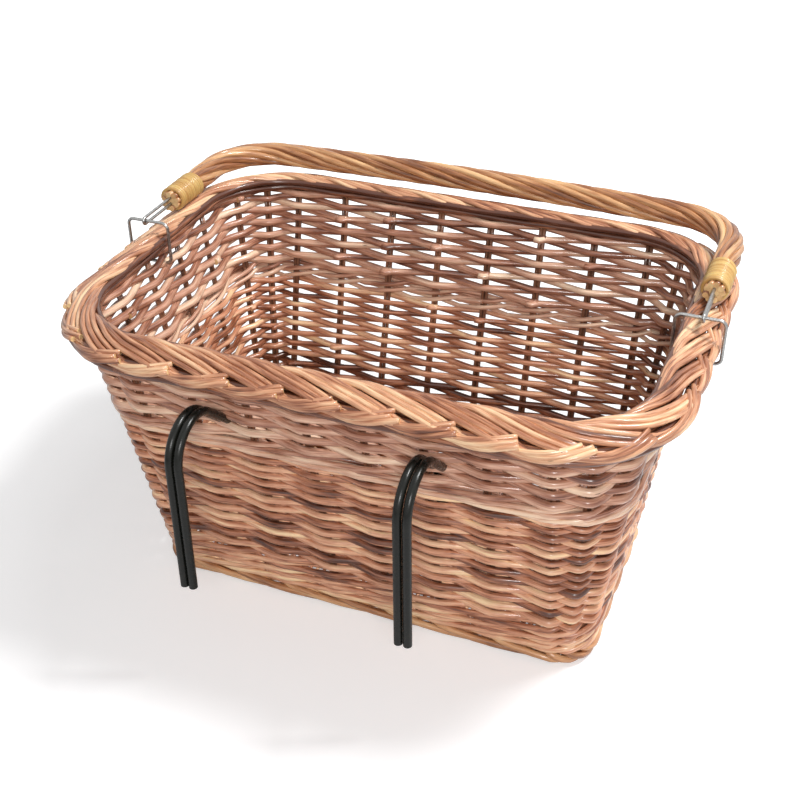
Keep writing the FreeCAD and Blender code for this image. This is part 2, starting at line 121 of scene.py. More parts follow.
def lay_rods(name, rods, bark, steps=2):
    """One piece of many round rods, each as points, radii, a tone and whether it is a ring."""
    curve = bpy.data.curves.new(name, "CURVE")
    curve.dimensions = "3D"
    curve.bevel_depth = 1.0
    curve.bevel_resolution = steps
    for points, radii, tone, closed in rods:
        spline = curve.splines.new("POLY")
        spline.points.add(len(points) - 1)
        for dot, spot, radius in zip(spline.points, points, radii):
            dot.co = (*spot, 1)
            dot.radius = radius
        spline.use_cyclic_u = closed
    drawn = bpy.data.objects.new(name + "_line", curve)
    bpy.context.scene.collection.objects.link(drawn)
    bpy.context.view_layer.update()
    mesh = bpy.data.meshes.new_from_object(drawn)
    bpy.data.objects.remove(drawn)
    bpy.data.curves.remove(curve)
    # The grain runs along each rod, so every point keeps how far along and which side it is
    sides = 4 + 2 * steps
    tones, grain = [], []
    for number, (points, radii, tone, closed) in enumerate(rods):
        run = number * GRAIN_SHIFT
        for index, radius in enumerate(radii):
            if index:
                run += (Vector(points[index]) - Vector(points[index - 1])).length
            for side in range(sides):
                turn = 2 * math.pi * side / sides
                grain += [run, radius * math.cos(turn), radius * math.sin(turn)]
                tones.append(tone)
    mesh.attributes.new("tone", "FLOAT", "POINT").data.foreach_set("value", tones)
    mesh.attributes.new("grain", "FLOAT_VECTOR", "POINT").data.foreach_set("vector", grain)
    piece = bpy.data.objects.new(name, mesh)
    bpy.context.scene.collection.objects.link(piece)
    for material in bark:
        mesh.materials.append(material)
    shape = bmesh.new()
    shape.from_mesh(mesh)
    open_ends = [edge for edge in shape.edges if edge.is_boundary]
    for face in bmesh.ops.holes_fill(shape, edges=open_ends, sides=sides)["faces"]:
        face.smooth = False
        face.material_index = len(bark) - 1
    shape.to_mesh(mesh)
    shape.free()
    return piece


def colour(red, green, blue):
    """A colour seen on the object, from 0 to 255, as the shader takes it."""
    parts = [value / 255 for value in (red, green, blue)]
    return [((p + 0.055) / 1.055) ** 2.4 if p > 0.04 else p / 12.92 for p in parts] + [1]


def bark_pattern():
    """Shared pattern of peeled, buffed willow: long streaks, darker stretches, small buds."""
    group = bpy.data.node_groups.new("willow streaks", "ShaderNodeTree")
    group.interface.new_socket("Shade", in_out="OUTPUT", socket_type="NodeSocketFloat")
    group.interface.new_socket("Bud", in_out="OUTPUT", socket_type="NodeSocketFloat")
    group.interface.new_socket("Dull", in_out="OUTPUT", socket_type="NodeSocketFloat")
    group.interface.new_socket("Relief", in_out="OUTPUT", socket_type="NodeSocketFloat")
    nodes, wire = group.nodes, group.links.new
    grain = nodes.new("ShaderNodeAttribute")
    grain.attribute_name = "grain"
    tone = nodes.new("ShaderNodeAttribute")
    tone.attribute_name = "tone"

    def noise(stretch, scale, detail):
        shift = nodes.new("ShaderNodeVectorMath")
        shift.operation = "MULTIPLY"
        shift.inputs[1].default_value = stretch
        wire(grain.outputs["Vector"], shift.inputs[0])
        field = nodes.new("ShaderNodeTexNoise")
        field.inputs["Scale"].default_value = scale
        field.inputs["Detail"].default_value = detail
        wire(shift.outputs[0], field.inputs["Vector"])
        return field.outputs["Fac"]

    def between(source, low, high, out_low, out_high):
        span = nodes.new("ShaderNodeMapRange")
        wire(source, span.inputs["Value"])
        for socket, value in zip(span.inputs[1:5], (low, high, out_low, out_high)):
            socket.default_value = value
        return span.outputs[0]

    def combine(kind, first, second):
        sum_node = nodes.new("ShaderNodeMath")
        sum_node.operation = kind
        for socket, value in zip(sum_node.inputs, (first, second)):
            if isinstance(value, float):
                socket.default_value = value
            else:
                wire(value, socket)
        return sum_node.outputs[0]

    broad_marks = noise(stretch=(1, 8, 8), scale=26, detail=2)
    patches = between(broad_marks, low=0.3, high=0.7, out_low=-0.28, out_high=0.28)
    fine_marks = noise(stretch=(0.06, 1, 1), scale=1100, detail=3)
    streaks = between(fine_marks, low=0.3, high=0.7, out_low=-0.18, out_high=0.18)
    shade = combine("ADD", combine("ADD", patches, streaks), tone.outputs["Fac"])
    buds = nodes.new("ShaderNodeTexVoronoi")
    buds.inputs["Scale"].default_value = 60
    squeeze = nodes.new("ShaderNodeVectorMath")
    squeeze.operation = "MULTIPLY"
    squeeze.inputs[1].default_value = (0.55, 4, 4)
    wire(grain.outputs["Vector"], squeeze.inputs[0])
    wire(squeeze.outputs[0], buds.inputs["Vector"])
    bud = between(buds.outputs["Distance"], low=0.03, high=0.09, out_low=1.0, out_high=0.0)
    worn_marks = noise(stretch=(0.5, 2, 2), scale=90, detail=2)
    dull = between(worn_marks, low=0.3, high=0.75, out_low=0.0, out_high=1.0)
    relief = combine("ADD", combine("MULTIPLY", streaks, 2.0), combine("MULTIPLY", bud, 0.8))
    end = nodes.new("NodeGroupOutput")
    for name, value in (("Shade", shade), ("Bud", bud), ("Dull", dull), ("Relief", relief)):
        wire(value, end.inputs[name])
    return group


streak_group = bark_pattern()
BUD_SHADE = (98, 60, 40)


def willow(name, shades, gloss=0.6, rough=(0.26, 0.46)):
    """Lacquered willow whose colour runs through the shades given, dark to pale."""
    material = bpy.data.materials.new(name)
    material.use_nodes = True
    nodes, wire = material.node_tree.nodes, material.node_tree.links.new
    skin = nodes["Principled BSDF"]
    streaks = nodes.new("ShaderNodeGroup")
    streaks.node_tree = streak_group
    ramp = nodes.new("ShaderNodeValToRGB")
    while len(ramp.color_ramp.elements) < len(shades):
        ramp.color_ramp.elements.new(0.5)
    for index, (stop, shade) in enumerate(shades):
        ramp.color_ramp.elements[index].position = stop
        ramp.color_ramp.elements[index].color = colour(*shade)
    wire(streaks.outputs["Shade"], ramp.inputs["Fac"])
    spot = nodes.new("ShaderNodeMix")
    spot.data_type = "RGBA"
    spot.inputs["B"].default_value = colour(*BUD_SHADE)
    wire(streaks.outputs["Bud"], spot.inputs["Factor"])
    wire(ramp.outputs["Color"], spot.inputs["A"])
    wire(spot.outputs["Result"], skin.inputs["Base Color"])
    sheen = nodes.new("ShaderNodeMapRange")
    sheen.inputs["To Min"].default_value, sheen.inputs["To Max"].default_value = rough
    wire(streaks.outputs["Dull"], sheen.inputs["Value"])
    wire(sheen.outputs[0], skin.inputs["Roughness"])
    skin.inputs["Specular IOR Level"].default_value = 0.35
    skin.inputs["Coat Weight"].default_value = gloss
    skin.inputs["Coat Roughness"].default_value = 0.13
    bump = nodes.new("ShaderNodeBump")
    bump.inputs["Strength"].default_value = 0.35
    bump.inputs["Distance"].default_value = 0.0004
    wire(streaks.outputs["Relief"], bump.inputs["Height"])
    wire(bump.outputs["Normal"], skin.inputs["Normal"])
    return material


siding_shades = (
    (0.0, (76, 38, 24)), (0.25, (146, 88, 60)), (0.5, (200, 138, 106)),
    (0.75, (228, 174, 138)), (1.0, (248, 212, 166)),
)
siding_willow = willow("lacquered siding willow", siding_shades)
cut_shades = ((0.0, (196, 150, 100)), (1.0, (236, 204, 150)))
cut_willow = willow("cut willow pith", cut_shades, gloss=0.1, rough=(0.5, 0.7))
stick_willow = willow("thick stick willow", ((0.0, (88, 56, 40)), (1.0, (158, 108, 80))))

STICK_COUNT = 7
STICK_SPACING = 0.024
STICK_RADIUS = 0.0023
STICK_MARKS = 17
STICK_INSET = 0.0085
STICK_CORNER_MARGIN = 0.008
BASE_MIDDLE = 0.005
base_sticks = []
for row in range(STICK_COUNT):
    y = (row - STICK_COUNT // 2) * STICK_SPACING
    long_run, short_run, corner = wall_outline(0.0)
    reach = long_run + corner - STICK_INSET
    if abs(y) > short_run - STICK_CORNER_MARGIN:
        square = (corner - STICK_INSET) ** 2 - (abs(y) - short_run) ** 2
        reach = long_run + math.sqrt(max(0.0, square))
    half_marks = STICK_MARKS // 2
    spots = [Vector((reach * (step / half_marks - 1), y, BASE_MIDDLE)) for step in range(STICK_MARKS)]
    base_sticks.append((spots, [STICK_RADIUS] * STICK_MARKS, base_chance.uniform(0.2, 0.7), False))
sticks_piece = lay_rods("base_lengthwise_sticks", base_sticks, (stick_willow, cut_willow))
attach(sticks_piece, "basket")
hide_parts("base_sticks")

BASE_ROWS = 116
BASE_MARKS = 45
BASE_ROD_RADIUS = 0.00138
BASE_END_INSET = 0.010
BASE_SIDE_INSET = 0.0075
BASE_WAVE = 0.0035
# A rod's wave is drawn this much too high and cut flat where it lies over a stick
BASE_WAVE_CUT = 1.35
base_rods = []
for row in range(BASE_ROWS):
    long_run, short_run, corner = wall_outline(0.0)
    edge = long_run + corner - BASE_END_INSET
    x = edge * (2 * row / (BASE_ROWS - 1) - 1)
    reach = short_run + corner - BASE_SIDE_INSET
    if abs(x) > long_run:
        square = (corner - BASE_SIDE_INSET) ** 2 - (abs(x) - long_run) ** 2
        reach = short_run + math.sqrt(max(0.0, square))
    spots = []
    for step in range(BASE_MARKS):
        y = reach * (2 * step / (BASE_MARKS - 1) - 1)
        wave = math.cos(math.pi * y / STICK_SPACING) * (1 if row % 2 else -1)
        spots.append(Vector((x, y, BASE_MIDDLE + BASE_WAVE * max(-1, min(1, BASE_WAVE_CUT * wave)))))
    base_rods.append((spots, [BASE_ROD_RADIUS] * BASE_MARKS, base_chance.uniform(0.15, 0.85), False))
base_piece = lay_rods("woven_base", base_rods, (siding_willow, cut_willow), 1)
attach(base_piece, "basket")
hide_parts("base_weave")

# Upright stakes: thirty-two pairs of thicker willow rods that stand round the base and lean
# outwards with the wall. Everything else in the wall is woven on them.
STAKE_RADIUS = 0.0016
STAKE_FOOT = 0.004
STAKE_LENGTH = 0.239
STAKE_MARKS = 13
# The middles of a pair's two stakes lie this share of their thickness apart
STAKE_CLOSENESS = 0.95
# The stakes stand one weaving rod's thickness behind the wall's outer face
WEAVE_ROD = 0.0042
WALL_MIDDLE = -(STAKE_RADIUS + WEAVE_ROD)
stake_chance = random.Random(11)
stake_rods = []
for pair in range(STAKE_PAIRS):
    for side in (-1, 1):
        spots = []
        lean = stake_chance.uniform(-0.0001, 0.0001)
        for step in range(STAKE_MARKS):
            height = STAKE_FOOT + STAKE_LENGTH * step / (STAKE_MARKS - 1)
            here = beside_wall(pair, height, WALL_MIDDLE)
            ahead = beside_wall(pair + 0.02, height, WALL_MIDDLE)
            along = (ahead - here).normalized()
            sway = math.sin(step * 1.3 + pair) * 0.0003
            spots.append(here + along * (side * STAKE_CLOSENESS * STAKE_RADIUS + lean + sway))
        radii = [STAKE_RADIUS] * STAKE_MARKS
        stake_rods.append((spots, radii, stake_chance.uniform(0.1, 0.8), False))
stakes_piece = lay_rods("upright_stakes", stake_rods, (stick_willow, cut_willow), 1)
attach(stakes_piece, "basket")
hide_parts("side_stakes")

# Foot border: the ends of the stakes turned down and laid along the bottom edge in long
# strokes, each under the next, so the basket stands on them.
foot_chance = random.Random(13)
foot_shades = (
    (0.0, (122, 78, 50)), (0.3, (172, 116, 76)), (0.6, (206, 150, 104)), (1.0, (232, 190, 142)),
)
foot_willow = willow("lacquered foot willow", foot_shades)
foot_rods = []
FOOT_RADII = (0.0027, 0.0031)
FOOT_TAPER = 0.06
# Each mark of a rod's way gives stake pairs onward, height and distance out from the wall
foot_path = (
    (-0.35, 0.0130, -0.0085), (-0.1, 0.0122, -0.0040), (0.08, 0.0112, -0.0008), (0.35, 0.0093, 0.0006),
    (0.7, 0.0070, 0.0008), (1.1, 0.0048, 0.0), (1.5, 0.0036, -0.0016), (2.0, 0.0033, -0.0040),
    (2.5, 0.0033, -0.0075), (2.9, 0.0045, -0.0120),
)
for pair in range(STAKE_PAIRS):
    thick = foot_chance.uniform(*FOOT_RADII)
    spots, radii = [], []
    shift = foot_chance.uniform(-0.06, 0.06)
    for first, second in zip(foot_path, foot_path[1:]):
        for part in (0, 1 / 3, 2 / 3):
            ahead, height, outward = [a + (b - a) * part for a, b in zip(first, second)]
            spots.append(beside_wall(pair + ahead + shift, height, outward))
            radii.append(thick * (1 - FOOT_TAPER * max(0, ahead)))
    foot_rods.append((spots, radii, foot_chance.uniform(0.25, 0.8), False))
foot_piece = lay_rods("foot_border_rods", foot_rods, (foot_willow, cut_willow))
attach(foot_piece, "basket")
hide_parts("foot_border")


# Waling: three rods worked together, each passing before two stakes and behind one, in long
# overlapping strokes. Rounds of it lock the stakes where they turn up from the base.
# Each round starts and ends by this stake pair, at the back
WALE_SEAM = 19
WALE_CLIMB = 2.05
WALE_MARKS = (0, 0.12, 0.3, 0.5, 0.7, 0.88)
# Over a stroke of three stakes, how far outside (1) or inside (-1) the stakes a rod lies
WALE_SIDE = (
    (0, -1), (0.12, -0.95), (0.5, 0.05), (0.88, 0.95), (1, 1.05), (1.5, 1.1), (2, 1.05), (2.12, 0.95),
    (2.5, 0.05), (2.88, -0.95), (3, -1),
)


def wale_round(level, thick, start, chance, bulge):
    """Three rods of one round of waling, each a stake behind the last."""
    climb = WALE_CLIMB * thick
    strands = []
    for strand in range(3):
        spots, radii = [], []
        for stake in range(WALE_SEAM, WALE_SEAM + STAKE_PAIRS + 1):
            for part in WALE_MARKS:
                where = (stake - strand - start) % 3 + part
                side = np.interp(where, *zip(*WALE_SIDE))
                # A rod climbs along its stroke and drops behind the stake to start the next
                drop = (where - 2.5) % 3
                rise = climb * (1 - 2 * drop if drop < 1 else where - 1.5)
                wobble = math.sin(stake * 2.1 + strand) * 0.0003
                out = WALL_MIDDLE + bulge + side * (STAKE_RADIUS + thick)
                spots.append(beside_wall(stake + part, level + rise + wobble, out))
                radii.append(thick * (1 + 0.06 * math.sin(stake * 0.7 + strand * 2)))
        strands.append((spots, radii, chance.uniform(0.3, 0.85), False))
    return strands


UPSET_ROUNDS = 3
UPSET_LEVEL = 0.0168
UPSET_STEP = 0.0100
UPSET_RADIUS = 0.0024
UPSET_BULGE = 0.0004
upset_chance = random.Random(17)
upset_rods = []
for round_number in range(UPSET_ROUNDS):
    level = UPSET_LEVEL + UPSET_STEP * round_number
    upset_rods += wale_round(level, UPSET_RADIUS, round_number, upset_chance, UPSET_BULGE)
upset_piece = lay_rods("upset_waling", upset_rods, (siding_willow, cut_willow))
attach(upset_piece, "basket")
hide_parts("upset_wale")


# Siding: thin rods randed row by row, outside one stake pair and inside the next, with their
# ends left on the inside. The rods above the waist are thicker than the ones below it.
ROW_WAVE = 0.0005
ROD_LENGTHS = (12, 14, 16, 18)
# A rod's bend past a stake, as stake pairs onward and its share of the way out or in
RAND_BENDS = ((-0.30, 0.48), (-0.10, 0.94), (0.0, 1.03), (0.10, 0.94), (0.30, 0.48), (0.5, 0.0))


def randed_rows(bottom, top, rows, grow, fill, chance, turn_start, tone_low, tone_high):
    """Rows of plain weaving, closer towards the top, each of two rods that meet inside."""
    shares = [1 + grow * (0.5 - (row + 0.5) / rows) for row in range(rows)]
    scale = (top - bottom) / sum(shares)
    rods = []
    level = bottom
    for row, share in enumerate(shares):
        pitch = share * scale
        level += pitch / 2
        thick = pitch * fill / 2
        uneven = [chance.uniform(-1, 1) * ROW_WAVE for _ in range(STAKE_PAIRS + 4)]
        depth = [1 + chance.uniform(-0.08, 0.08) for _ in range(STAKE_PAIRS + 4)]
        inside = [k for k in range(STAKE_PAIRS) if (k + row + turn_start) % 2]
        first = chance.choice(inside)
        second = first + chance.choice(ROD_LENGTHS)
        for start, finish in ((first, second), (second, first + STAKE_PAIRS)):
            spots, radii = [], []
            fat = thick * chance.uniform(0.93, 1.07)
            length = finish - start
            for stake in range(start, finish + 1):
                side = -1 if (stake + row + turn_start) % 2 else 1
                number = stake % STAKE_PAIRS
                for ahead, share_out in RAND_BENDS:
                    # A rod starts just before a stake and ends just past one, further inside
                    if (stake == start and ahead < -0.15) or (stake == finish and ahead > 0.2):
                        continue
                    out = WALL_MIDDLE + side * share_out * (STAKE_RADIUS + thick) * depth[number]
                    if stake == finish and ahead >= 0:
                        out -= thick * 1.1
                    height = level + uneven[number] * (1 - abs(ahead))
                    spots.append(beside_wall(stake + ahead, height, out))
                    taper = 1.07 - 0.14 * (stake + ahead - start) / length
                    radii.append(fat * taper)
            rods.append((spots, radii, chance.uniform(tone_low, tone_high), False))
        level += pitch / 2
    return rods


siding_chance = random.Random(19)
lower_rods = randed_rows(
    bottom=0.0415, top=0.1640, rows=26, grow=0.34, fill=1.16, chance=siding_chance,
    turn_start=0, tone_low=0.12, tone_high=0.82,
)
lower_piece = lay_rods("lower_siding_rods", lower_rods, (siding_willow, cut_willow))
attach(lower_piece, "basket")
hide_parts("lower_siding")

# Waist: two rounds of waling, of thinner rods that press the fine rows down and part them
# from the thicker ones above.
WAIST_ROUNDS = 2
WAIST_LEVEL = 0.1683
WAIST_STEP = 0.0056
WAIST_RADIUS = 0.0020
WAIST_BULGE = 0.0010
waist_chance = random.Random(23)
waist_shades = (
    (0.0, (92, 52, 38)), (0.3, (160, 106, 82)), (0.6, (206, 156, 130)), (1.0, (240, 208, 178)),
)
waist_willow = willow("lacquered waist willow", waist_shades)
waist_rods = []
for round_number in range(WAIST_ROUNDS):
    level = WAIST_LEVEL + WAIST_STEP * round_number
    waist_rods += wale_round(level, WAIST_RADIUS, 2 * round_number + 1, waist_chance, WAIST_BULGE)
waist_piece = lay_rods("waist_waling", waist_rods, (waist_willow, cut_willow))
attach(waist_piece, "basket")
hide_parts("waist_wale")

# Upper siding: twelve more randed rows, of thicker willow, woven on the same stakes up to the
# border, which holds them down.
upper_rods = randed_rows(
    bottom=0.1784, top=0.2435, rows=12, grow=0.1, fill=1.14, chance=siding_chance,
    turn_start=1, tone_low=0.2, tone_high=0.9,
)
upper_piece = lay_rods("upper_siding_rods", upper_rods, (waist_willow, cut_willow))
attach(upper_piece, "basket")
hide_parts("upper_siding")

# Plaited border: at every stake a bundle of three rods comes up inside, crosses the top of the
# band, passes under the next bundles at the outer edge, comes back up and is cut off there.
BAND_HALF_FLAT = 0.009
BAND_ROUND = 0.008
BAND_CORNER = 0.075
BAND_TILT = math.radians(24)
BAND_LEVEL = 0.2455
BAND_OVERHANG = 0.0025
BAND_HALF_WIDTH = 0.015
BUNDLE_SPREAD = 0.0040
BUNDLE_RADII = (0.0019, 0.0022)
BUNDLE_DEPTH = 0.0021
# Mean distance from one stake pair to the next, along the border
PAIR_STEP = 0.041
band_chance = random.Random(29)
band_shades = (
    (0.0, (88, 48, 32)), (0.3, (158, 100, 70)), (0.6, (206, 150, 114)), (1.0, (242, 206, 164)),
)
band_willow = willow("lacquered border willow", band_shades)


def in_band(place, slope, rise, wave=0.0):
    """Point in the border's tilted section, so far along its width and its thickness."""
    outward = BAND_OVERHANG + slope * math.cos(BAND_TILT) + rise * math.sin(BAND_TILT)
    spot = beside_wall(place, BORDER_LEVEL, outward, BAND_CORNER)
    spot.z = BAND_LEVEL - slope * math.sin(BAND_TILT) + rise * math.cos(BAND_TILT) + wave
    return spot


def on_band(place, across, lift):
    """Point over the border's rounded section: across runs from its inner to its outer edge."""
    flat = max(-BAND_HALF_FLAT, min(BAND_HALF_FLAT, across))
    turn = (across - flat) / BAND_ROUND
    slope = flat + (BAND_ROUND + lift) * math.sin(turn)
    rise = (BAND_ROUND + lift) * math.cos(turn)
    return in_band(place, slope, rise)


def smooth_path(marks, steps):
    """Points on a soft line through the marks, so many steps from each mark to the next."""
    ends = [marks[0]] + list(marks) + [marks[-1]]
    path = []
    for a, b, c, d in zip(ends, ends[1:], ends[2:], ends[3:]):
        for step in range(steps):
            t = step / steps
            path.append([
                0.5 * (2 * q + (r - p) * t + (2 * p - 5 * q + 4 * r - s) * t * t
                       + (3 * q - p - 3 * r + s) * t ** 3)
                for p, q, r, s in zip(a, b, c, d)
            ])
    return path + [list(marks[-1])]


# Each mark of a bundle's way gives stake pairs onward, its place across the band in half
# widths, and how many millimetres it lies over the band's section
bundle_line = smooth_path((
    (-1.1, -0.95, -7.0), (-0.6, -1.22, -4.0), (-0.25, -1.14, -1.8), (0.1, -0.92, -0.5),
    (0.45, -0.58, 0.2), (0.85, -0.22, 0.4), (1.25, 0.12, 0.2), (1.6, 0.45, -0.6),
    (1.95, 0.80, -3.6), (2.35, 1.12, -5.2), (2.75, 1.30, -4.0), (3.1, 1.22, -1.4),
    (3.45, 0.96, 0.0), (3.75, 0.64, 0.2), (3.95, 0.42, -0.2),
), 3)
border_rods = []
for pair in range(STAKE_PAIRS):
    bundle_tone = band_chance.uniform(0.3, 0.8)
    for rod in (-1, 0, 1):
        spots, radii = [], []
        thick = band_chance.uniform(*BUNDLE_RADII)
        stop = len(bundle_line) - band_chance.choice((0, 1, 2))
        for index, (ahead, across, lift) in enumerate(bundle_line[:stop]):
            before = bundle_line[max(0, index - 1)]
            after = bundle_line[min(len(bundle_line) - 1, index + 1)]
            along = (after[0] - before[0]) * PAIR_STEP
            over = (after[1] - before[1]) * BAND_HALF_WIDTH
            size = math.hypot(along, over)
            fan = rod * (BUNDLE_SPREAD + 0.0003 * math.sin(ahead * 1.7 + pair))
            crossing = across * BAND_HALF_WIDTH + fan * along / size
            onward = pair + ahead - fan * over / size / PAIR_STEP
            spots.append(on_band(onward, crossing, lift * 0.001 - BUNDLE_DEPTH + 0.0002 * rod))
            radii.append(thick * (1.04 - 0.02 * max(0, ahead)))
        border_rods.append((spots, radii, bundle_tone + band_chance.uniform(-0.12, 0.12), False))
border_piece = lay_rods("plaited_border_rods", border_rods, (band_willow, cut_willow))
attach(border_piece, "basket")
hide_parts("plaited_border")

# Inside the plait lie the bent-down stakes: rods that run round under the bundles, close the
# underside of the band and carry it on the wall.
CORE_RADIUS = 0.0026
CORE_MARKS = 5
core_rods = []
core_places = (
    (-0.0075, 0.0015), (0.0, 0.0015), (0.0075, 0.0015), (-0.0105, -0.0045), (-0.0045, -0.0055),
    (0.0015, -0.0055), (0.0075, -0.0052), (0.0125, -0.0030), (-0.0135, 0.0),
)
for slope, rise in core_places:
    spots = []
    for step in range(STAKE_PAIRS * CORE_MARKS):
        wave = math.sin(step * 0.63 + slope * 900) * 0.0004
        spots.append(in_band(step / CORE_MARKS, slope, rise, wave))
    # These rods take the darkest tones of the border willow: painted shade for the gaps between the
    # bundles, where they show through
    core_rods.append((spots, [CORE_RADIUS] * len(spots), band_chance.uniform(-0.1, 0.2), True))
core_piece = lay_rods("border_core_rods", core_rods, (band_willow, cut_willow))
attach(core_piece, "basket")
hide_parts("plaited_border")

# Handle: a thick bow rod with nine long rods twisted round it. It turns on wire eyes and lies
# back over the far side of the border.
PIVOT_HEIGHT = 0.2659
HANDLE_HALF_WIDTH = 0.223
HANDLE_REACH = 0.1675
HANDLE_CORNER = 0.052
BOW_ANGLE = math.radians(4)
BOW_RADIUS = 0.0050
ROPE_START = 0.040
LEG_MARKS = 24
CORNER_MARKS = 20
BAR_MARKS = 48
handle_chance = random.Random(31)


def handle_line():
    """Points along the bow from its right end to its left, with the way square to it."""
    corner_x = HANDLE_HALF_WIDTH - HANDLE_CORNER
    bar_x = corner_x + HANDLE_CORNER * math.sin(BOW_ANGLE)
    bar_rise = bar_x * math.tan(BOW_ANGLE / 2)
    corner_y = HANDLE_REACH - bar_rise - HANDLE_CORNER * math.cos(BOW_ANGLE)
    bow_radius = bar_x / math.sin(BOW_ANGLE)
    right = []
    for step in range(LEG_MARKS):
        y = ROPE_START + (corner_y - ROPE_START) * step / LEG_MARKS
        right.append((HANDLE_HALF_WIDTH, y, 1.0, 0.0))
    for step in range(CORNER_MARKS):
        turn = (math.pi / 2 - BOW_ANGLE) * step / CORNER_MARKS
        right.append((
            corner_x + HANDLE_CORNER * math.cos(turn), corner_y + HANDLE_CORNER * math.sin(turn),
            math.cos(turn), math.sin(turn),
        ))
    for step in range(BAR_MARKS):
        turn = BOW_ANGLE * (1 - step / BAR_MARKS)
        right.append((
            bow_radius * math.sin(turn), HANDLE_REACH - bow_radius * (1 - math.cos(turn)),
            math.sin(turn), math.cos(turn),
        ))
    left = [(-x, y, -ax, ay) for x, y, ax, ay in reversed(right)]
    return right + [(0.0, HANDLE_REACH, 0.0, 1.0)] + left


bow_line = handle_line()
rope_shades = (
    (0.0, (86, 48, 28)), (0.3, (146, 92, 56)), (0.6, (186, 132, 88)), (1.0, (226, 182, 132)),
)
rope_willow = willow("lacquered handle willow", rope_shades)
bow_spots = [Vector((x, y, PIVOT_HEIGHT)) for x, y, ax, ay in bow_line]
bow_rod = (bow_spots, [BOW_RADIUS] * len(bow_spots), 0.6, False)
bow_piece = lay_rods("handle_bow_rod", [bow_rod], (stick_willow, cut_willow))
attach(bow_piece, "handle")
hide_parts("handle_bow")

ROPE_RODS = 9
TWIST_LENGTH = 0.225
# Under the cane the rods lie thin and close; past it they come loose to their full size
BOUND_LENGTH = 0.037
LOOSENING = 0.012
BOUND_RING = 0.0059
BOUND_RADIUS = 0.00235
RING_GAIN = 0.0014
RADIUS_GAIN = 0.00045
rope_rods = []
total = sum((b - a).length for a, b in zip(bow_spots, bow_spots[1:]))
for rod in range(ROPE_RODS):
    spots, radii = [], []
    run = 0.0
    # The rods are cut off unevenly at both ends
    spare = handle_chance.uniform(0.0, 0.005)
    for index, (x, y, ax, ay) in enumerate(bow_line):
        if index:
            run += (bow_spots[index] - bow_spots[index - 1]).length
        near_end = min(run, total - run)
        loose = max(0.0, min(1.0, (near_end - BOUND_LENGTH) / LOOSENING))
        ring = BOUND_RING + RING_GAIN * loose
        thick = BOUND_RADIUS + RADIUS_GAIN * loose
        turn = 2 * math.pi * (rod / ROPE_RODS - run / TWIST_LENGTH)
        away = Vector((ax, ay, 0)) * math.cos(turn) + Vector((0, 0, 1)) * math.sin(turn)
        beyond = Vector((0, -spare, 0)) if near_end == 0 else Vector()
        spots.append(bow_spots[index] + away * ring + beyond)
        radii.append(thick)
    rope_rods.append((spots, radii, handle_chance.uniform(0.3, 0.85), False))
rope_piece = lay_rods("twisted_handle_rods", rope_rods, (rope_willow, cut_willow))
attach(rope_piece, "handle")
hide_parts("handle_rope")

# Cane bindings: split cane wound closely round each end of the handle, which holds the
# twisted rods together where they are cut off.
cane_shades = ((0.0, (138, 92, 50)), (0.4, (190, 146, 84)), (1.0, (222, 192, 122)))
cane_skin = willow("wound split cane", cane_shades, gloss=0.35, rough=(0.34, 0.5))
CANE_START = 0.043
CANE_TURNS = 13
CANE_PITCH = 0.0027
CANE_RING = 0.0091
CANE_RADIUS = 0.00145
TURN_MARKS = 24
for side, name in ((1, "right"), (-1, "left")):
    spots, radii = [], []
    for step in range(CANE_TURNS * TURN_MARKS + 1):
        turn = 2 * math.pi * step / TURN_MARKS
        away = Vector((side * math.cos(turn), 0, math.sin(turn)))
        y = CANE_START + CANE_PITCH * step / TURN_MARKS
        ripple = 1 + 0.02 * math.sin(step * 0.17)
        spots.append(Vector((side * HANDLE_HALF_WIDTH, y, PIVOT_HEIGHT)) + away * CANE_RING * ripple)
        radii.append(CANE_RADIUS)
    cane_piece = lay_rods("cane_winding_" + name, [(spots, radii, 0.6, False)], (cane_skin, cut_willow))
    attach(cane_piece, "handle")
    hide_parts("cane_binding_" + name)


# Wire: a squared ring of galvanised wire closed through the border at each end, and a wire
# hairpin in each handle end whose eye turns on it.
DARKER_MARKS = 0.72


def metal(name, tint, rough, scratch):
    """Bare or coated metal with fine marks in its gloss."""
    material = bpy.data.materials.new(name)
    material.use_nodes = True
    nodes, wire = material.node_tree.nodes, material.node_tree.links.new
    skin = nodes["Principled BSDF"]
    place = nodes.new("ShaderNodeTexCoord")
    marks = nodes.new("ShaderNodeTexNoise")
    marks.inputs["Scale"].default_value = scratch
    marks.inputs["Detail"].default_value = 5
    wire(place.outputs["Object"], marks.inputs["Vector"])
    ramp = nodes.new("ShaderNodeValToRGB")
    ramp.color_ramp.elements[0].position, ramp.color_ramp.elements[1].position = 0.3, 0.7
    ramp.color_ramp.elements[0].color = colour(*[value * DARKER_MARKS for value in tint])
    ramp.color_ramp.elements[1].color = colour(*tint)
    wire(marks.outputs["Fac"], ramp.inputs["Fac"])
    wire(ramp.outputs["Color"], skin.inputs["Base Color"])
    gloss = nodes.new("ShaderNodeMapRange")
    gloss.inputs["To Min"].default_value, gloss.inputs["To Max"].default_value = rough
    wire(marks.outputs["Fac"], gloss.inputs["Value"])
    wire(gloss.outputs[0], skin.inputs["Roughness"])
    bump = nodes.new("ShaderNodeBump")
    bump.inputs["Strength"].default_value = 0.1
    bump.inputs["Distance"].default_value = 0.0001
    wire(marks.outputs["Fac"], bump.inputs["Height"])
    wire(bump.outputs["Normal"], skin.inputs["Normal"])
    return material, skin


wire_metal, wire_skin = metal("galvanised wire", (190, 190, 188), (0.22, 0.42), 900)
wire_skin.inputs["Metallic"].default_value = 1.0
for name in ("border_link_left", "border_link_right", "handle_eye_left", "handle_eye_right"):
    node = bpy.data.objects[name]
    node.data.materials.clear()
    node.data.materials.append(wire_metal)

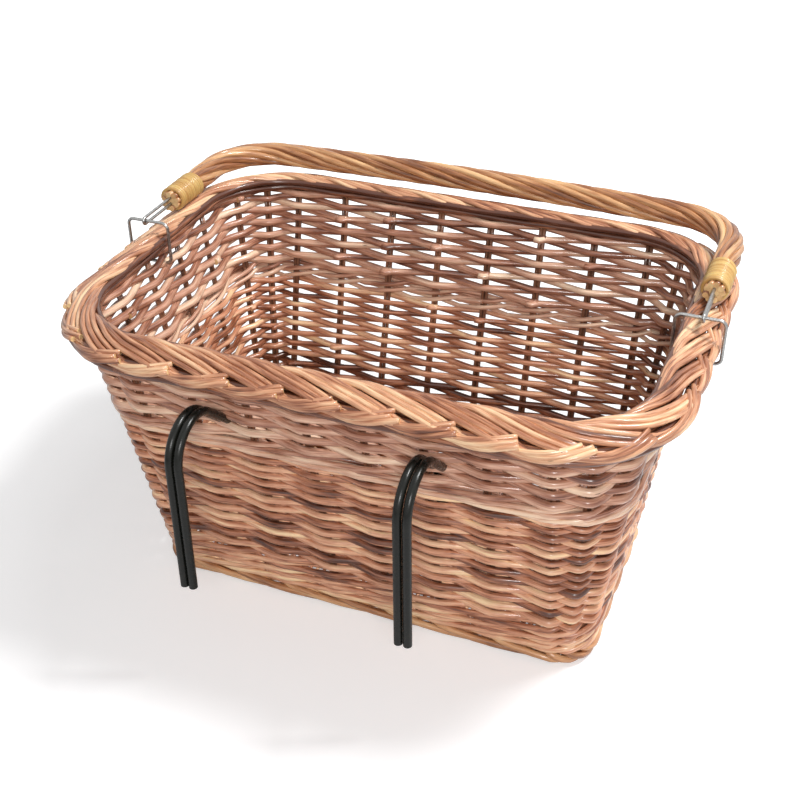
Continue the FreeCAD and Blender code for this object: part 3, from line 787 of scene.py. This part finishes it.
# Hooks: each one steel rod bent double and dipped in black plastic, through the wall under the
# border, so that the basket hangs on a bar.
steel_metal, steel_skin = metal("plain steel rod", (150, 150, 150), (0.3, 0.5), 700)
steel_skin.inputs["Metallic"].default_value = 1.0
black_plastic, plastic_skin = metal("black dipped plastic", (20, 21, 17), (0.20, 0.34), 260)
plastic_skin.inputs["Specular IOR Level"].default_value = 0.3
for side in ("left", "right"):
    for kind, material in (("hook_steel_", steel_metal), ("hook_coating_", black_plastic)):
        node = bpy.data.objects[kind + side]
        node.data.materials.clear()
        node.data.materials.append(material)

# The setting: a white floor that keeps a soft shadow, pale light all round, a soft lamp in
# front and a stronger one high on the right, and the camera at the photograph's place.
FLOOR_HALF_SIZE = 6.0
# To the camera the floor glows by 0.36 within 0.30 m of the middle and by 0.90 past 0.85 m
FLOOR_FADE = (0.30, 0.85, 0.36, 0.90)
ROOM_LIGHT = 0.27
floor_shape = bmesh.new()
bmesh.ops.create_grid(floor_shape, x_segments=1, y_segments=1, size=FLOOR_HALF_SIZE)
floor_mesh = bpy.data.meshes.new("studio_floor")
floor_shape.to_mesh(floor_mesh)
floor_shape.free()
floor = bpy.data.objects.new("studio_floor", floor_mesh)
bpy.context.scene.collection.objects.link(floor)
floor_paint = bpy.data.materials.new("white floor paint")
floor_paint.use_nodes = True
floor_nodes, floor_wire = floor_paint.node_tree.nodes, floor_paint.node_tree.links.new
floor_skin = floor_nodes["Principled BSDF"]
floor_skin.inputs["Base Color"].default_value = (0.80, 0.80, 0.81, 1)
floor_skin.inputs["Roughness"].default_value = 0.9
floor_skin.inputs["Specular IOR Level"].default_value = 0.1
floor_skin.inputs["Emission Color"].default_value = (1, 1, 1, 1)
floor_rays = floor_nodes.new("ShaderNodeLightPath")
floor_place = floor_nodes.new("ShaderNodeTexCoord")
floor_away = floor_nodes.new("ShaderNodeVectorMath")
floor_away.operation = "LENGTH"
floor_wire(floor_place.outputs["Object"], floor_away.inputs[0])
floor_fade = floor_nodes.new("ShaderNodeMapRange")
for socket, value in zip(floor_fade.inputs[1:5], FLOOR_FADE):
    socket.default_value = value
floor_wire(floor_away.outputs["Value"], floor_fade.inputs["Value"])
floor_glow = floor_nodes.new("ShaderNodeMath")
floor_glow.operation = "MULTIPLY"
floor_wire(floor_fade.outputs[0], floor_glow.inputs[1])
floor_wire(floor_rays.outputs["Is Camera Ray"], floor_glow.inputs[0])
floor_wire(floor_glow.outputs[0], floor_skin.inputs["Emission Strength"])
floor_mesh.materials.append(floor_paint)

world = bpy.data.worlds.new("pale room")
bpy.context.scene.world = world
world.use_nodes = True
sky_nodes, sky_wire = world.node_tree.nodes, world.node_tree.links.new
room = sky_nodes["Background"]
room.inputs["Color"].default_value = (1, 1, 1, 1)
room.inputs["Strength"].default_value = ROOM_LIGHT
white = sky_nodes.new("ShaderNodeBackground")
white.inputs["Color"].default_value = (1, 1, 1, 1)
white.inputs["Strength"].default_value = 1.0
rays = sky_nodes.new("ShaderNodeLightPath")
seen = sky_nodes.new("ShaderNodeMath")
seen.operation = "MAXIMUM"
sky_wire(rays.outputs["Is Camera Ray"], seen.inputs[0])
sky_wire(rays.outputs["Is Glossy Ray"], seen.inputs[1])
either = sky_nodes.new("ShaderNodeMixShader")
sky_wire(seen.outputs[0], either.inputs[0])
sky_wire(room.outputs[0], either.inputs[1])
sky_wire(white.outputs[0], either.inputs[2])
sky_wire(either.outputs[0], sky_nodes["World Output"].inputs["Surface"])


def lamp(name, place, target, size, power):
    """A square soft lamp that faces a point."""
    light = bpy.data.lights.new(name, "AREA")
    light.size = size
    light.energy = power
    stand = bpy.data.objects.new(name, light)
    stand.location = place
    stand.rotation_euler = (Vector(target) - Vector(place)).to_track_quat("-Z", "Y").to_euler()
    bpy.context.scene.collection.objects.link(stand)


BASKET_MIDDLE = (0, 0, 0.1)
lamp("broad_front_lamp", (0.6, -1.45, 1.15), BASKET_MIDDLE, size=0.4, power=16)
lamp("high_right_lamp", (0.75, 0.30, 1.65), BASKET_MIDDLE, size=0.4, power=27)

CAMERA_TURN = math.radians(21.8)
CAMERA_HEIGHT = math.radians(33.5)
CAMERA_ROLL = math.radians(-0.6)
CAMERA_DISTANCE = 1.0455
CAMERA_LENS = 57.25
CAMERA_TARGET = Vector((-0.0127, 0.0200, 0.1301))
camera_data = bpy.data.cameras.new("photo_camera")
camera_data.sensor_width = 36
camera_data.lens = CAMERA_LENS
camera = bpy.data.objects.new("photo_camera", camera_data)
back = Vector((
    math.sin(CAMERA_TURN) * math.cos(CAMERA_HEIGHT),
    -math.cos(CAMERA_TURN) * math.cos(CAMERA_HEIGHT), math.sin(CAMERA_HEIGHT),
))
camera.location = CAMERA_TARGET + back * CAMERA_DISTANCE
aim = back.to_track_quat("Z", "Y").to_matrix()
camera.rotation_euler = (aim @ Matrix.Rotation(CAMERA_ROLL, 3, "Z")).to_euler()
bpy.context.scene.collection.objects.link(camera)
bpy.context.scene.camera = camera
bpy.context.scene.view_settings.view_transform = "Standard"

bpy.context.view_layer.update()
